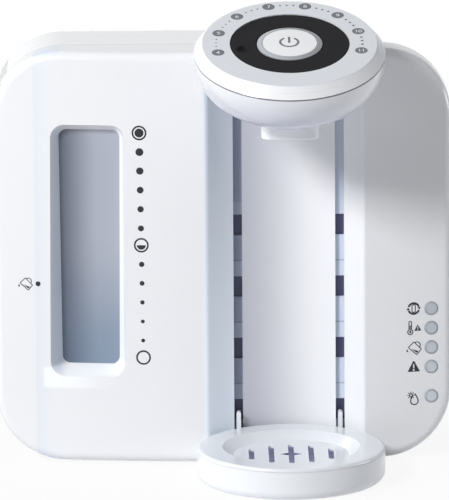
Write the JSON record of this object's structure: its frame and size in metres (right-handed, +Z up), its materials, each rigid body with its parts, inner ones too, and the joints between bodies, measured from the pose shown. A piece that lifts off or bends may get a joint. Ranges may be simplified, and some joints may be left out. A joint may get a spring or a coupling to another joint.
{
  "type": "baby formula maker",
  "caption": "Countertop water dispenser for mixing infant formula: upright slab body with lift-out tank, overhanging head with volume dial, and height-adjustable drip stand.",
  "frame": {"origin": "on the table plane, under the middle of the overall footprint", "axes": "+X to the user's right, +Y from the front towards the rear, +Z up; the face and dial look towards -Y"},
  "size_m": [0.29, 0.188, 0.2961],
  "materials": {
    "shell_white": "gloss",
    "cover_white": "satin",
    "smoky_pane": "smooth, lightly smoked",
    "clear_tank": "clear, slightly blue",
    "frame_grey": "satin",
    "plinth_grey": "matt",
    "rubber_black": "matt",
    "dial_black": "satin",
    "lens_grey": "translucent",
    "button_white": "satin",
    "key_grey": "translucent",
    "board_green": "satin",
    "part_black": "matt",
    "screw_steel": "zinc plated",
    "spring_steel": "drawn",
    "valve_white": "satin",
    "filter_grey": "matt",
    "pump_grey": "satin",
    "hose_clear": "translucent"
  },
  "bodies": {
    "housing": {"back_cover": "cover_white", "base_plate": "plinth_grey", "board_screws": "screw_steel", "boiler": "spring_steel", "boiler_feed_hose": "hose_clear", "boiler_strap": "screw_steel", "cold_feed_hose": "hose_clear", "cold_hose": "hose_clear", "cord_gland": "rubber_black", "cover_screws": "screw_steel", "dial_board": "board_green", "dial_sensor": "part_black", "frame_screws": "screw_steel", "front_shell": "shell_white", "head_bowl": "shell_white", "head_ring": "shell_white", "heating_element": "screw_steel", "hot_feed_hose": "hose_clear", "hot_hose": "hose_clear", "key_board": "board_green", "key_switches": "part_black", "ladder_rails": "frame_grey", "light_ring": "lens_grey", "main_board": "board_green", "mid_frame": "frame_grey", "nozzle_block": "shell_white", "pump": "pump_grey", "pump_cradle": "rubber_black", "relay": "part_black", "rubber_feet": "rubber_black", "start_spring": "spring_steel", "start_switch": "part_black", "suction_hose": "hose_clear", "tank_dock": "frame_grey", "tank_socket": "frame_grey", "thermostat": "part_black", "transformer": "part_black", "water_spouts": "spring_steel", "water_valves": "valve_white", "window_pane": "smoky_pane"},
    "dial": {"volume_dial": "dial_black", "dial_clip": "dial_black"},
    "start_key": {"start_button": "button_white"},
    "stand": {"stand_tray": "shell_white"},
    "cover": {"tray_cover": "shell_white"},
    "tank": {"water_tank": "clear_tank", "lid_pins": "screw_steel", "tank_seal": "rubber_black", "filter_housing": "cover_white", "filter_cartridge": "filter_grey", "valve_spring": "spring_steel"},
    "lid": {"tank_lid": "shell_white"},
    "outlet_valve": {"valve_poppet": "valve_white"},
    "filter_top": {"filter_cap": "cover_white"},
    "filter_key": {"filter_button": "key_grey"},
    "temperature_key": {"temperature_button": "key_grey"},
    "fill_key": {"fill_button": "key_grey"},
    "clean_key": {"clean_button": "key_grey"},
    "descale_key": {"descale_button": "key_grey"}
  },
  "joints": [
    {"name": "dial_turn", "type": "hinge", "parent": "housing", "child": "dial", "pos_m": [0.0419, -0.03465, 0.2787], "axis": [0, 0.3256, -0.9455], "range_deg": [0, 210]},
    {"name": "start_press", "type": "slide", "parent": "housing", "child": "start_key", "axis": [0, 0.3256, -0.9455], "range_m": [0, 0.0015], "stiffness_N_per_m": 900, "springref_m": -0.001, "deforming": ["start_spring"]},
    {"name": "filter_press", "type": "slide", "parent": "housing", "child": "filter_key", "axis": [-0.2052, 0.9782, -0.0307], "range_m": [0, 0.0008], "stiffness_N_per_m": 1500, "springref_m": -0.0006},
    {"name": "temperature_press", "type": "slide", "parent": "housing", "child": "temperature_key", "axis": [-0.2052, 0.9782, -0.0307], "range_m": [0, 0.0008], "stiffness_N_per_m": 1500, "springref_m": -0.0006},
    {"name": "fill_press", "type": "slide", "parent": "housing", "child": "fill_key", "axis": [-0.2052, 0.9782, -0.0307], "range_m": [0, 0.0008], "stiffness_N_per_m": 1500, "springref_m": -0.0006},
    {"name": "clean_press", "type": "slide", "parent": "housing", "child": "clean_key", "axis": [-0.2052, 0.9782, -0.0307], "range_m": [0, 0.0008], "stiffness_N_per_m": 1500, "springref_m": -0.0006},
    {"name": "descale_press", "type": "slide", "parent": "housing", "child": "descale_key", "axis": [-0.2052, 0.9782, -0.0307], "range_m": [0, 0.0008], "stiffness_N_per_m": 1500, "springref_m": -0.0006},
    {"name": "stand_height", "type": "slide", "parent": "housing", "child": "stand", "axis": [0, 0.0314, 0.9995], "range_m": [0, 0.12]},
    {"name": "cover_lift", "type": "slide", "parent": "stand", "child": "cover", "axis": [0, 0, 1], "range_m": [0, 0.06]},
    {"name": "tank_lift", "type": "slide", "parent": "housing", "child": "tank", "axis": [0, 0, 1], "range_m": [0, 0.25]},
    {"name": "lid_open", "type": "hinge", "parent": "tank", "child": "lid", "pos_m": [-0.06, 0.09155, 0.24685], "axis": [-1, 0, 0], "range_deg": [0, 100]},
    {"name": "outlet_open", "type": "slide", "parent": "tank", "child": "outlet_valve", "axis": [0, 0, 1], "range_m": [0, 0.003], "stiffness_N_per_m": 120, "springref_m": -0.003, "deforming": ["valve_spring"]},
    {"name": "filter_cap_turn", "type": "hinge", "parent": "tank", "child": "filter_top", "pos_m": [-0.014, 0.0667, 0.15], "axis": [0, 0, 1], "range_deg": [0, 60]}
  ]
}
